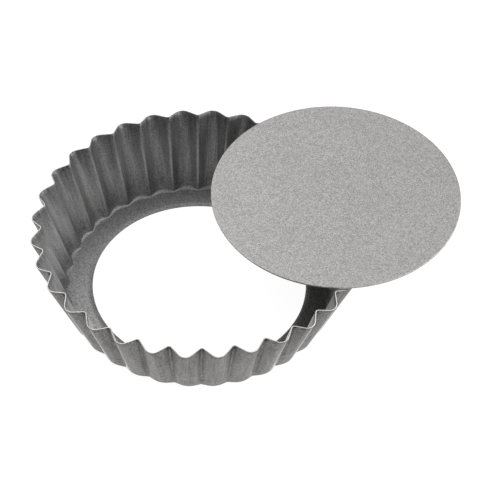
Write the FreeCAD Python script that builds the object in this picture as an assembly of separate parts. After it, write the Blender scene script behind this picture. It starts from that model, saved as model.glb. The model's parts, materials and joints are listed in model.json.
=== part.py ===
import FreeCAD, Part
import os
from math import acos, atan2, cos, hypot, pi, radians, sin

# A loose-bottomed tart pan in two pieces: a fluted ring of thin sheet steel and a loose flat base.
# The ring's wall leans outwards in round flutes with sharp creases between them, and turns in at its
# foot to a narrow flat ledge. Its rim is trimmed in a wave, highest at the creases.
# The base lies on the rim, to one side, as it does when it is out of its seat on the ledge.
#
# Millimetres, +Z up. The origin is on the ring's axis, in the plane that the ring stands on.
# +X runs through the middle of one flute.

# Driving dimensions of the ring
flute_count = 32
sheet = 0.4                    # thickness of the steel
height = 30.6                  # to the top of the rim, which is over the creases
rim_dip = 1.1                  # how much lower the rim runs over the flutes
rim_radius = 60.0              # over the outside of the flutes, at their rim
rim_flute_depth = 3.8
rim_flute_arc = 3.2            # outside radius of a flute's round middle, at the rim
rim_crease_arc = 0.8           # outside radius of the crease between two flutes, at the rim
foot_radius = 48.5             # over the outside of the flutes, where the wall's line meets the ground
foot_flute_depth = 1.3
foot_flute_arc = 6.0
foot_crease_arc = 0.5
foot_bend = 3.0                # outside radius of the bend between the wall and the ledge
opening_radius = 38.6
wall_sections = 4              # outlines that the wall is lofted through

# Driving dimensions of the base
base_radius = 44.8
base_thickness = 0.7
base_edge_arc = 0.2            # the stamped edge is rubbed round
base_offset = 51.15            # from the ring's axis to the middle of the base
base_bearing = radians(22.5)   # the way that the base is shifted, from +X towards +Y
resting_gap = 0.05             # between the rim and the underside of the base

# Sizes that follow from those
half_pitch = pi / flute_count
flute_rim = height - rim_dip           # height of the rim over the flutes
lean = atan2(rim_radius - foot_radius, flute_rim)
wall_across = sheet / cos(lean)        # thickness of the leaning wall, measured level
cut_margin = 1.0                       # how far a cutting solid runs past the face that it cuts


def point(radius, angle, z):
    return FreeCAD.Vector(radius * cos(angle), radius * sin(angle), z)


def swung(place, angle, side=1):
    """The point place, mirrored over +X if side is -1, and then turned about the ring's axis by angle."""
    return point(hypot(place.x, place.y), angle + side * atan2(place.y, place.x), place.z)


def along_wall(foot_value, rim_value, z):
    """A size that changes evenly up the wall, from the ground to the rim over the flutes."""
    return foot_value + (rim_value - foot_value) * z / flute_rim


def flute_outline(z, inset):
    """The closed level outline of the flutes at height z, moved inwards by inset.

    Each flute has a round outward arc in its middle, and each crease between two flutes is a small
    inward arc. A straight flank joins the two, tangent to both.
    """
    flute_arc = along_wall(foot_flute_arc, rim_flute_arc, z)
    flute_tip = along_wall(foot_radius, rim_radius, z)
    flute_centre = flute_tip - flute_arc
    crease_arc = along_wall(foot_crease_arc, rim_crease_arc, z)
    crease_tip = along_wall(foot_radius - foot_flute_depth, rim_radius - rim_flute_depth, z)
    crease_centre = crease_tip + crease_arc

    # The flank is square to a line at the angle turn, on which both arcs end.
    across_x = crease_centre * cos(half_pitch) - flute_centre
    across_y = crease_centre * sin(half_pitch)
    turn = atan2(across_y, across_x) - acos((flute_arc + crease_arc) / hypot(across_x, across_y))
    flank_start = point(flute_centre, 0, z) + point(flute_arc - inset, turn, 0)
    flank_end = point(crease_centre, half_pitch, z) - point(crease_arc + inset, turn, 0)

    edges = []
    for number in range(flute_count):
        middle = 2 * half_pitch * number
        next_middle = middle + 2 * half_pitch
        start = swung(flank_start, middle, -1)
        arc_end = swung(flank_start, middle)
        crease_start = swung(flank_end, middle)
        crease_end = swung(flank_end, next_middle, -1)
        next_start = swung(flank_start, next_middle, -1)
        flute_middle = point(flute_tip - inset, middle, z)
        crease_middle = point(crease_tip - inset, middle + half_pitch, z)
        edges.append(Part.Arc(start, flute_middle, arc_end).toShape())
        edges.append(Part.makeLine(arc_end, crease_start))
        edges.append(Part.Arc(crease_start, crease_middle, crease_end).toShape())
        edges.append(Part.makeLine(crease_end, next_start))
    return Part.Wire(edges)


def fluted_solid(bottom, top, inset, bend):
    """A solid with fluted leaning sides, and a rounded edge round its bottom face."""
    step = (top - bottom) / (wall_sections - 1)
    outlines = [flute_outline(bottom + step * level, inset) for level in range(wall_sections)]
    solid = Part.makeLoft(outlines, True)
    bottom_edges = [edge for edge in solid.Edges if edge.BoundBox.ZMax < bottom + step / 2]
    return solid.makeFillet(bend, bottom_edges)


def rim_trim():
    """A cone that the wall is trimmed to. It falls from the creases' crests to the flutes' tips."""
    crease_radius = along_wall(foot_radius - foot_flute_depth, rim_radius - rim_flute_depth, height)
    crest_radius = crease_radius - wall_across
    slope = rim_dip / (rim_radius - crest_radius)
    return Part.makeCone(rim_radius + flute_rim / slope, 0, flute_rim + rim_radius * slope)


def fluted_ring():
    outside = fluted_solid(0, height + cut_margin, 0, foot_bend)
    inside = fluted_solid(sheet, height + 2 * cut_margin, wall_across, foot_bend - sheet)
    opening = Part.makeCylinder(opening_radius, sheet + 2 * cut_margin, point(0, 0, -cut_margin))
    return outside.cut([inside, opening]).common(rim_trim())


def base_plate():
    disc = Part.makeCylinder(base_radius, base_thickness)
    disc = disc.makeFillet(base_edge_arc, [edge for edge in disc.Edges if not edge.BoundBox.ZLength])
    disc.translate(point(base_offset, base_bearing, height + resting_gap))
    return disc


pieces = {"fluted_ring": fluted_ring(), "base_plate": base_plate()}

os.makedirs("parts", exist_ok=True)
for name, shape in pieces.items():
    solids = shape.Solids
    print(name, "solids", len(solids), "valid", shape.isValid(), "volume", round(shape.Volume, 1))
    solids[0].exportStep("parts/" + name + ".step")
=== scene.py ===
import json
from math import atan2, cos, pi, radians, sin, tan

import bpy
import numpy as np
from mathutils import Matrix, Vector


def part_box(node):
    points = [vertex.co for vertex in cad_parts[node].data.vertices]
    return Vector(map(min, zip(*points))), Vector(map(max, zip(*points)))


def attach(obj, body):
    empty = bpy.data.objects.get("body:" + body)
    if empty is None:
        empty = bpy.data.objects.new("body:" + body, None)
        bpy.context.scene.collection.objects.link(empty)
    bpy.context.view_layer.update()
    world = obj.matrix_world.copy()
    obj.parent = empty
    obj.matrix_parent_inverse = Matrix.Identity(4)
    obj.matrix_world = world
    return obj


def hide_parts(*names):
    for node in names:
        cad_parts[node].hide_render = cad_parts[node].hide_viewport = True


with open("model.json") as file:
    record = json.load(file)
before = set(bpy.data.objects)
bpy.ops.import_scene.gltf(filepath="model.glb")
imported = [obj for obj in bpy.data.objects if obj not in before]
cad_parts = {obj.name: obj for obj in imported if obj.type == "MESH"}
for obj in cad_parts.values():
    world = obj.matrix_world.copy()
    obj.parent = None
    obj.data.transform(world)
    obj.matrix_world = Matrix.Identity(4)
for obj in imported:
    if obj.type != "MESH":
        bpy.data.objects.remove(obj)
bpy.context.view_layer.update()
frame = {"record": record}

# The tart pan's looks: a fluted ring with a dark non-stick coating and a bright cut rim, and a loose
# base with a lighter, matt coating. Metres, in the frame's own axes.

MM = 0.001

# Sizes read from the frame
ring_low, ring_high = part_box("fluted_ring")
base_low, base_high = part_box("base_plate")
height = ring_high.z
rim_radius = (ring_high.x - ring_low.x) / 2
base_radius = (base_high.x - base_low.x) / 2
base_middle = (base_low + base_high) / 2
opening = next(mount["dims"] for mount in frame["record"]["mounts"] if mount["name"] == "opening")
opening_radius = opening["r_mm"] * MM
sheet = opening["length_mm"] * MM

# The rest of the ring's shape, as the CAD model has it
flute_count = 32
rim_dip = 1.1 * MM             # how much lower the rim runs over the flutes than over the creases
rim_flute_depth = 3.8 * MM
rim_flute_arc = 3.2 * MM
rim_crease_arc = 0.8 * MM
foot_radius = 48.5 * MM
foot_flute_depth = 1.3 * MM
foot_flute_arc = 6.0 * MM
foot_crease_arc = 0.5 * MM

# Small shapes that the CAD model has in a plainer form or not at all
flute_bend = 2.5 * MM          # outside radius of the foot's bend under a flute
crease_bend = 1.2 * MM         # the same bend is tighter under a crease
cut_bevel = 0.08 * MM          # the burr on a cut edge is rubbed off this far
base_edge_arc = 0.2 * MM
slow_wave = 0.06 * MM          # the rim runs in and out by this, three times round the ring
quick_wave = 0.05 * MM         # and by this, seven times round
wave_inset = 0.1 * MM          # the waves lie this far inside the true circle

# Sizes that follow from those
half_pitch = pi / flute_count
flute_rim = height - rim_dip   # height of the rim over the flutes
lean = atan2(rim_radius - foot_radius, flute_rim)
wall_across = sheet / cos(lean)

# How finely the two pieces are divided
flute_steps = 12
flank_steps = 4
crease_steps = 8
ledge_steps = 4
bend_steps = 8
wall_steps = 14
base_rings = 9
base_edge_steps = 4
base_columns = 288

# Colours of the finishes
base_grey = (0.328, 0.3235, 0.315)
ring_grey = (0.1805, 0.18, 0.179)
ring_warmth = (0.002, -0.0015, -0.0055)  # added on the outside, which is a little warmer
steel_grey = (0.52, 0.515, 0.51)

# The camera
camera_azimuth = radians(3.035)
camera_elevation = radians(47.58)
camera_roll = radians(1.56)
camera_distance = 888.0 * MM
camera_right = 16.72 * MM      # the view's middle, from the ring's foot, across the view
camera_up = 13.99 * MM         # and up the view
camera_lens = 178.8

# Light: a dim white room with three soft boxes, over a glowing white floor
horizon_brightness = 0.3
overhead_brightness = 0.7
overhead_from = 0.8            # sine of the elevation where the room reaches its full brightness
light_distance = 0.95
floor_reach = 3.0
floor_drop = 0.02 * MM         # keeps the floor from lying in the same plane as the foot
floor_white = 0.15             # the floor's own paint
floor_glow = 0.94              # how much it glows, as white paper lit from below does


# ---------------------------------------------------------------------------------------------
# Camera, light and floor

def make_camera():
    right = Vector((cos(camera_azimuth), sin(camera_azimuth), 0))
    level_ahead = Vector((-sin(camera_azimuth), cos(camera_azimuth), 0))
    ahead = cos(camera_elevation) * level_ahead - sin(camera_elevation) * Vector((0, 0, 1))
    up = right.cross(ahead)
    rolled_right = cos(camera_roll) * right + sin(camera_roll) * up
    rolled_up = cos(camera_roll) * up - sin(camera_roll) * right
    camera = bpy.data.objects.new("camera", bpy.data.cameras.new("camera"))
    bpy.context.scene.collection.objects.link(camera)
    camera.matrix_world = Matrix((rolled_right, rolled_up, -ahead)).transposed().to_4x4()
    camera.location = right * camera_right + up * camera_up - ahead * camera_distance
    camera.data.lens = camera_lens
    camera.data.sensor_width = 36
    bpy.context.scene.camera = camera


def soft_box(name, azimuth, elevation, wide, high, power):
    """A soft lamp that faces the pan from light_distance away. Azimuth runs from +X towards +Y."""
    data = bpy.data.lights.new(name, "AREA")
    data.shape = "RECTANGLE"
    data.size = wide
    data.size_y = high
    data.energy = power
    level = light_distance * cos(elevation)
    place = Vector((level * cos(azimuth), level * sin(azimuth), light_distance * sin(elevation)))
    light = bpy.data.objects.new(name, data)
    light.location = place
    light.rotation_euler = (-place).to_track_quat("-Z", "Y").to_euler()
    bpy.context.scene.collection.objects.link(light)


def make_studio():
    """A white room, brightest overhead and dim near the horizon, and the three soft boxes."""
    world = bpy.data.worlds.new("studio")
    world.use_nodes = True
    tree = world.node_tree
    direction = tree.nodes.new("ShaderNodeTexCoord")
    parts = tree.nodes.new("ShaderNodeSeparateXYZ")
    brightness = tree.nodes.new("ShaderNodeMapRange")
    brightness.interpolation_type = "SMOOTHSTEP"
    brightness.inputs["From Min"].default_value = 0.0
    brightness.inputs["From Max"].default_value = overhead_from
    brightness.inputs["To Min"].default_value = horizon_brightness
    brightness.inputs["To Max"].default_value = overhead_brightness
    tree.links.new(direction.outputs["Generated"], parts.inputs[0])
    tree.links.new(parts.outputs["Z"], brightness.inputs["Value"])
    tree.links.new(brightness.outputs[0], tree.nodes["Background"].inputs["Strength"])
    tree.nodes["Background"].inputs["Color"].default_value = (1, 1, 1, 1)
    bpy.context.scene.world = world
    soft_box("right_low", azimuth=0.0, elevation=radians(20), wide=1.6, high=0.6, power=10.0)
    soft_box("right_high", azimuth=0.0, elevation=radians(50), wide=0.9, high=0.7, power=3.0)
    soft_box("back_left", azimuth=radians(135), elevation=radians(50), wide=0.7, high=0.7, power=4.5)
    bpy.context.scene.view_settings.view_transform = "Standard"


def make_floor():
    sides = ((-1, -1), (1, -1), (1, 1), (-1, 1))
    corners = [(x * floor_reach, y * floor_reach, -floor_drop) for x, y in sides]
    mesh = bpy.data.meshes.new("floor")
    mesh.from_pydata(corners, [], [(0, 1, 2, 3)])
    floor = bpy.data.objects.new("floor", mesh)
    bpy.context.scene.collection.objects.link(floor)
    material = bpy.data.materials.new("floor_white")
    material.use_nodes = True
    shader = material.node_tree.nodes["Principled BSDF"]
    shader.inputs["Base Color"].default_value = (floor_white, floor_white, floor_white, 1)
    shader.inputs["Roughness"].default_value = 0.9
    shader.inputs["Specular IOR Level"].default_value = 0.0
    shader.inputs["Emission Color"].default_value = (1, 1, 1, 1)
    shader.inputs["Emission Strength"].default_value = floor_glow
    mesh.materials.append(material)


# ---------------------------------------------------------------------------------------------
# Materials

class Nodes:
    """A short way to write a material's node tree. A value is a number, a vector or another node's output."""

    def __init__(self, name):
        self.material = bpy.data.materials.new(name)
        self.material.use_nodes = True
        self.tree = self.material.node_tree
        self.shader = self.tree.nodes["Principled BSDF"]
        coordinates = self.add("ShaderNodeTexCoord")
        self.place = coordinates.outputs["Object"]
        self.normal = coordinates.outputs["Normal"]

    def add(self, kind, inputs=None, **settings):
        node = self.tree.nodes.new(kind)
        for key, value in settings.items():
            setattr(node, key, value)
        for key, value in (inputs or {}).items():
            self.put(node.inputs[key], value)
        return node

    def put(self, socket, value):
        if isinstance(value, bpy.types.NodeSocket):
            self.tree.links.new(value, socket)
        else:
            socket.default_value = value

    def math(self, operation, first, second=0.0, third=0.0):
        inputs = {0: first, 1: second, 2: third}
        return self.add("ShaderNodeMath", inputs, operation=operation).outputs[0]

    def total(self, *values):
        result = values[0]
        for value in values[1:]:
            result = self.math("ADD", result, value)
        return result

    def product(self, *values):
        result = values[0]
        for value in values[1:]:
            result = self.math("MULTIPLY", result, value)
        return result

    def vector(self, operation, first, second=(0, 0, 0), scale=1.0):
        inputs = {0: first, 1: second, 3: scale}
        node = self.add("ShaderNodeVectorMath", inputs, operation=operation)
        return node.outputs["Value" if operation == "DOT_PRODUCT" else "Vector"]

    def parts(self, vector):
        """The x, y and z of a vector."""
        return self.add("ShaderNodeSeparateXYZ", {0: vector}).outputs

    def noise(self, size, vector=None, detail=1.0):
        """Noise whose lumps are about size metres across, from 0 to 1."""
        inputs = {"Vector": vector or self.place, "Scale": 1 / size, "Detail": detail, "Roughness": 0.5}
        return self.add("ShaderNodeTexNoise", inputs).outputs["Fac"]

    def cells(self, size):
        """Small cells about size metres across, each with a level of its own from 0 to 1."""
        colour = self.add("ShaderNodeTexVoronoi", {"Vector": self.place, "Scale": 1 / size}).outputs["Color"]
        return self.add("ShaderNodeSeparateColor", {"Color": colour}).outputs[0]

    def swing(self, value, amount):
        """Maps value from 0..1 to -amount..amount."""
        return self.math("MULTIPLY_ADD", value, 2 * amount, -amount)

    def rise(self, value, start, end):
        """Goes smoothly from 0, where value is start, to 1, where it is end. The start may be the greater."""
        inputs = {"Value": value, "From Min": start, "From Max": end}
        return self.add("ShaderNodeMapRange", inputs, interpolation_type="SMOOTHSTEP").outputs[0]


def speckle(nodes, amount):
    """The fine speckle of the coating, from about -amount to amount."""
    fine = nodes.swing(nodes.noise(0.29 * MM, detail=2.0), amount)
    flakes = nodes.swing(nodes.cells(0.34 * MM), 0.4 * amount)
    return nodes.total(fine, flakes)


def satin(nodes, colour, lightness, metallic, roughness):
    """Links up a satin, finely uneven surface of a colour, which lightness makes lighter or darker."""
    uneven = nodes.noise(0.42 * MM, detail=2.0)
    bump = nodes.add("ShaderNodeBump", {"Height": uneven, "Strength": 0.2, "Distance": 0.02 * MM})
    nodes.put(nodes.shader.inputs["Base Color"], nodes.vector("SCALE", colour, scale=lightness))
    nodes.put(nodes.shader.inputs["Roughness"], nodes.total(roughness, nodes.swing(uneven, 0.08)))
    nodes.put(nodes.shader.inputs["Normal"], bump.outputs[0])
    nodes.shader.inputs["Metallic"].default_value = metallic
    return nodes.material


def base_coating():
    """The base's light matt coating, evenly speckled."""
    nodes = Nodes("base_coating")
    cloud = nodes.swing(nodes.noise(20 * MM), 0.05)
    lightness = nodes.total(1.0, speckle(nodes, 0.75), cloud)
    return satin(nodes, base_grey, lightness, metallic=0.7, roughness=0.5)


def ring_coating():
    """The ring's dark coating, with faint streaks and painted light and shade.

    The wall has faint streaks up it. Painted shade darkens the whole inside. Painted light makes it lightest
    half way up and painted shade makes it darkest at the rim, and a painted highlight runs along the crests
    of the creases, stronger towards the foot. Outside, each crease has a painted shade groove, darkest at
    the rim, with a thin painted highlight line along it, and each flute's middle has a faint painted
    highlight. There painted shade darkens the wall towards the rim and at the foot, and there are faint
    level lines low on it. Painted light makes the ledge lighter.
    """
    nodes = Nodes("ring_coating")
    place = nodes.parts(nodes.place)
    up = place["Z"]
    outward = nodes.vector("NORMALIZE", nodes.vector("MULTIPLY", nodes.place, (1, 1, 0)))

    # Masks from 0 to 1
    facing = nodes.vector("DOT_PRODUCT", nodes.normal, outward)
    inside = nodes.rise(facing, -0.3, -0.6)
    outside = nodes.rise(facing, 0.3, 0.6)
    on_wall = nodes.rise(up, 1 * MM, 4 * MM)
    on_ledge = nodes.math("SUBTRACT", 1.0, on_wall)
    on_foot = nodes.product(outside, nodes.rise(up, 3.5 * MM, 1.5 * MM))
    # Where painted light makes the inside lightest, half way up the wall
    half_way = nodes.product(inside, nodes.rise(up, 2 * MM, 15 * MM), nodes.rise(up, height, 17 * MM))
    low_outside = nodes.product(outside, nodes.rise(up, 16 * MM, 4 * MM))
    towards_rim = nodes.rise(up, 0, height)
    towards_foot = nodes.rise(up, height, 4 * MM)
    at_rim = nodes.rise(up, height - 5 * MM, height)

    # The share of the pitch from the nearest flute's middle: 0.5 is on a crease
    bearing = nodes.math("ARCTAN2", place["Y"], place["X"])
    from_flute = nodes.math("PINGPONG", nodes.product(bearing, 0.5 / half_pitch), 0.5)
    # A painted highlight along the inner crests of the creases, stronger towards the foot
    inner_crest_highlight = nodes.product(inside, nodes.rise(from_flute, 0.455, 0.485), towards_foot)
    # A faint painted highlight on each flute's middle, outside
    flute_middle = nodes.product(outside, nodes.rise(from_flute, 0.25, 0.05))
    # Painted shade in a wide and a narrow band along each outer crease
    wide_groove = nodes.product(outside, nodes.rise(from_flute, 0.30, 0.44))
    groove = nodes.product(outside, nodes.rise(from_flute, 0.38, 0.46))
    # A thin painted highlight line along each outer crease
    outer_crease_highlight = nodes.product(outside, nodes.rise(from_flute, 0.475, 0.49))

    # Painted light and shade on the wall, and how much lighter or darker each makes it
    marks = [
        # Painted shade over the whole inside, painted light half way up and painted shade at the inner rim
        (-0.20, inside),
        (0.36, half_way),
        (-0.20, nodes.product(inside, at_rim)),
        # Painted highlights on the inner crests and on the outer flutes' middles
        (0.24, inner_crest_highlight),
        (0.05, flute_middle),
        # Painted shade along the outer creases, darkest at the rim
        (-0.20, wide_groove),
        (-0.22, nodes.product(groove, towards_rim)),
        (-0.35, nodes.product(groove, at_rim)),
        # The painted highlight line along each outer crease
        (0.25, outer_crease_highlight),
        # Painted shade darkening the outside towards the rim
        (-0.17, nodes.product(outside, towards_rim)),
    ]
    # All the painted light and shade together
    painted_light_and_shade = nodes.total(*[nodes.product(amount, mask) for amount, mask in marks])

    # Streaks change quickly round the ring and slowly up the wall, and level lines the other way about
    round_ring = nodes.vector("SCALE", outward, scale=rim_radius)
    streak_place = nodes.vector("ADD", round_ring, nodes.vector("MULTIPLY", nodes.place, (0, 0, 0.08)))
    line_place = nodes.vector("ADD", nodes.vector("SCALE", round_ring, scale=0.06),
                              nodes.vector("MULTIPLY", nodes.place, (0, 0, 1)))
    wide_streaks = nodes.swing(nodes.noise(2.4 * MM, streak_place), 0.35)
    fine_streaks = nodes.swing(nodes.noise(0.6 * MM, streak_place), 0.42)
    lines = nodes.swing(nodes.noise(1.0 * MM, line_place), 0.5)

    # The speckle is weaker on the inside of the wall
    speckle_share = nodes.math("MULTIPLY_ADD", nodes.product(inside, on_wall), -0.35, 1.0)
    lightness = nodes.total(
        1.0,
        nodes.product(speckle(nodes, 0.95), speckle_share),
        nodes.swing(nodes.noise(20 * MM), 0.05),
        # The streaks, and the painted light and shade, on the wall only
        nodes.product(nodes.total(wide_streaks, fine_streaks, painted_light_and_shade), on_wall),
        nodes.product(lines, low_outside),
        # Painted shade darkens the outside at the foot, and painted light makes the ledge lighter
        nodes.product(-0.12, on_foot),
        nodes.product(0.15, on_ledge))

    colour = nodes.vector("ADD", ring_grey, nodes.vector("SCALE", ring_warmth, scale=outside))

    # At a grazing angle the coating is glossy, which draws a bright line along each flute's visible edge
    grazing = nodes.add("ShaderNodeLayerWeight", {"Blend": 0.5}).outputs["Facing"]
    nodes.put(nodes.shader.inputs["Coat Weight"], nodes.rise(grazing, 0.80, 0.95))
    nodes.shader.inputs["Coat Roughness"].default_value = 0.15
    return satin(nodes, colour, lightness, metallic=0.75, roughness=0.45)


def cut_steel():
    """Bare steel where the sheet was cut."""
    nodes = Nodes("cut_steel")
    lightness = nodes.total(1.0, nodes.swing(nodes.noise(0.3 * MM, detail=2.0), 0.15))
    return satin(nodes, steel_grey, lightness, metallic=1.0, roughness=0.45)


# ---------------------------------------------------------------------------------------------
# Shapes

def along_wall(foot_value, rim_value, z):
    """A size that changes evenly up the wall, from the ground to the rim over the flutes."""
    return foot_value + (rim_value - foot_value) * z / flute_rim


def column_places():
    """For each column of the ring's mesh, how far along its flute it is, and the flute's number.

    The place along a flute runs from 0 to 1 over the flute's round middle, to 2 down its flank, to 3
    round the crease and to 4 up the next flute's flank.
    """
    divisions = (flute_steps, flank_steps, crease_steps, flank_steps)
    steps = np.concatenate([part + np.arange(count) / count for part, count in enumerate(divisions)])
    return np.tile(steps, flute_count), np.repeat(np.arange(flute_count), len(steps))


def flute_outline(z, inset):
    """The flutes' outline, moved inwards by inset, as one point for each column at that column's height z.

    Each flute has a round outward arc in its middle, each crease is a small inward arc, and straight
    flanks tangent to both arcs join them. Level points are complex numbers here, so that a turn about
    the ring's axis is a product.
    """
    flute_arc = along_wall(foot_flute_arc, rim_flute_arc, z)
    flute_centre = along_wall(foot_radius, rim_radius, z) - flute_arc
    crease_arc = along_wall(foot_crease_arc, rim_crease_arc, z)
    crease_tip = along_wall(foot_radius - foot_flute_depth, rim_radius - rim_flute_depth, z)
    crease_centre = (crease_tip + crease_arc) * np.exp(1j * half_pitch)

    # The flank is square to a line at the angle turn, on which both arcs end
    across = crease_centre - flute_centre
    turn = np.angle(across) - np.arccos((flute_arc + crease_arc) / np.abs(across))
    flank_start = flute_centre + (flute_arc - inset) * np.exp(1j * turn)
    flank_end = crease_centre - (crease_arc + inset) * np.exp(1j * turn)
    flank = flank_end - flank_start

    on_flute = flute_centre + (flute_arc - inset) * np.exp(1j * turn * (2 * column_step - 1))
    down_flank = flank_start + flank * (column_step - 1)
    crease_turn = half_pitch + (turn - half_pitch) * (5 - 2 * column_step)
    on_crease = crease_centre - (crease_arc + inset) * np.exp(1j * crease_turn)
    up_flank = np.conj(flank_start + flank * (4 - column_step)) * np.exp(2j * half_pitch)
    part = [column_step < 1, column_step < 2, column_step < 3]
    place = np.select(part, [on_flute, down_flank, on_crease], up_flank)
    place = place * np.exp(2j * half_pitch * column_flute)
    return np.stack([place.real, place.imag, z], 1)


def level(z):
    """The same height for every column."""
    return np.full(len(column_step), z)


def rim_height(inset):
    """The rim's height at each column. It falls on a cone, from the creases' crests to the flutes' tips."""
    crease_radius = along_wall(foot_radius - foot_flute_depth, rim_radius - rim_flute_depth, height)
    slope = rim_dip / (rim_radius - (crease_radius - wall_across))
    z = level(height)
    for _ in range(6):                # each round brings the height nearer to where wall and cone meet
        outline = flute_outline(z, inset)
        z = flute_rim + slope * (rim_radius - np.hypot(outline[:, 0], outline[:, 1]))
    return z


def side_rows(ledge_z, inset, bend_under_flute, bend_under_crease):
    """One face of the sheet, in rows: from the opening, along the ledge, round the bend and up the wall."""
    corner = flute_outline(level(ledge_z), inset)
    radius = np.hypot(corner[:, 0], corner[:, 1])
    outward = np.stack([corner[:, 0] / radius, corner[:, 1] / radius, 0 * radius], 1)
    under_flute = (radius - radius.min()) / (radius.max() - radius.min())
    bend = bend_under_crease + (bend_under_flute - bend_under_crease) * under_flute
    turn = pi / 2 - lean
    tangent = bend * tan(turn / 2)
    ledge_start = outward * (opening_radius + cut_bevel)
    ledge_start[:, 2] = ledge_z
    ledge_end = corner - outward * tangent[:, None]
    wall_start_z = ledge_z + tangent * cos(lean)
    wall_start = flute_outline(wall_start_z, inset)
    wall_end_z = rim_height(inset) - cut_bevel

    rows = [ledge_start + (ledge_end - ledge_start) * step / ledge_steps for step in range(ledge_steps)]
    for step in range(bend_steps):
        t = step / bend_steps
        share = np.array([(1 - t) ** 2, 2 * t * (1 - t) * cos(turn / 2), t ** 2])
        rows.append((ledge_end * share[0] + corner * share[1] + wall_start * share[2]) / share.sum())
    for step in range(wall_steps + 1):
        rows.append(flute_outline(wall_start_z + (wall_end_z - wall_start_z) * step / wall_steps, inset))
    return rows


def uneven(points):
    """The pressing isn't perfect: the wall runs a little in and out, more towards the rim."""
    angle = np.arctan2(points[:, 1], points[:, 0])
    outward = np.stack([np.cos(angle), np.sin(angle), 0 * angle], 1)
    swing = slow_wave * np.sin(3 * angle + 0.7) + quick_wave * np.sin(7 * angle + 2.1) - wave_inset
    share = np.clip(points[:, 2] / height, 0, 1) ** 1.5
    return points + outward * (swing * share)[:, None]


def grid_faces(rows, columns):
    """Quads between each row and the next. Each row is a closed loop, and row number rows is row 0."""
    here = np.arange(columns)
    after = (here + 1) % columns
    faces = []
    for row in range(rows):
        start = row * columns
        next_start = (row + 1) % rows * columns
        faces.append(np.stack([start + here, start + after, next_start + after, next_start + here], 1))
    return np.concatenate(faces).tolist()


def piece(name, points, faces, materials, body, node):
    """A smooth object that takes the place of a CAD node."""
    mesh = bpy.data.meshes.new(name)
    mesh.from_pydata(points, [], faces)
    mesh.shade_smooth()
    for material in materials:
        mesh.materials.append(material)
    shape = bpy.data.objects.new(name, mesh)
    bpy.context.scene.collection.objects.link(shape)
    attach(shape, body)
    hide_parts(node)
    return mesh


def make_ring():
    under = side_rows(0.0, 0.0, flute_bend, crease_bend)
    upper = side_rows(sheet, wall_across, flute_bend - sheet, crease_bend - sheet)
    rim = [flute_outline(rim_height(inset), inset) for inset in (cut_bevel, wall_across - cut_bevel)]
    opening_edge = []
    for z in (sheet - cut_bevel, cut_bevel):
        edge = under[0] * opening_radius / (opening_radius + cut_bevel)
        edge[:, 2] = z
        opening_edge.append(edge)
    rows = [uneven(row) for row in under + rim + upper[::-1] + opening_edge]
    columns = len(column_step)
    mesh = piece("fluted_ring_skin", np.concatenate(rows).tolist(), grid_faces(len(rows), columns),
                 [ring_coating(), cut_steel()], "ring", "fluted_ring")

    # The strip between the two rim rows is the cut edge, which has no coating
    cut_faces = mesh.polygons[len(under) * columns:(len(under) + 1) * columns]
    for face in cut_faces:
        face.material_index = 1


def make_base():
    """A flat disc with a rounded edge: rings of points out over the top, round the edge and back below."""
    flat = base_radius - 4 * base_edge_arc
    profile = [(flat * ring / base_rings, base_high.z) for ring in range(1, base_rings + 1)]
    for corner_z, start in ((base_high.z - base_edge_arc, pi / 2), (base_low.z + base_edge_arc, 0)):
        for step in range(base_edge_steps + 1):
            angle = start - pi / 2 * step / base_edge_steps
            out = base_radius - base_edge_arc + base_edge_arc * cos(angle)
            profile.append((out, corner_z + base_edge_arc * sin(angle)))
    profile += [(flat * ring / base_rings, base_low.z) for ring in range(base_rings, 0, -1)]

    points = []
    for radius, z in profile:
        for column in range(base_columns):
            angle = 2 * pi * column / base_columns
            points.append((base_middle.x + radius * cos(angle), base_middle.y + radius * sin(angle), z))
    faces = [face[::-1] for face in grid_faces(len(profile), base_columns)[:-base_columns]]
    last = (len(profile) - 1) * base_columns
    top = len(points)
    points += [(base_middle.x, base_middle.y, base_high.z), (base_middle.x, base_middle.y, base_low.z)]
    for column in range(base_columns):
        after = (column + 1) % base_columns
        faces.append((top, column, after))
        faces.append((top + 1, last + after, last + column))
    piece("base_plate_skin", points, faces, [base_coating()], "base", "base_plate")


# ---------------------------------------------------------------------------------------------

column_step, column_flute = column_places()

make_camera()
make_studio()
make_floor()
make_ring()
make_base()
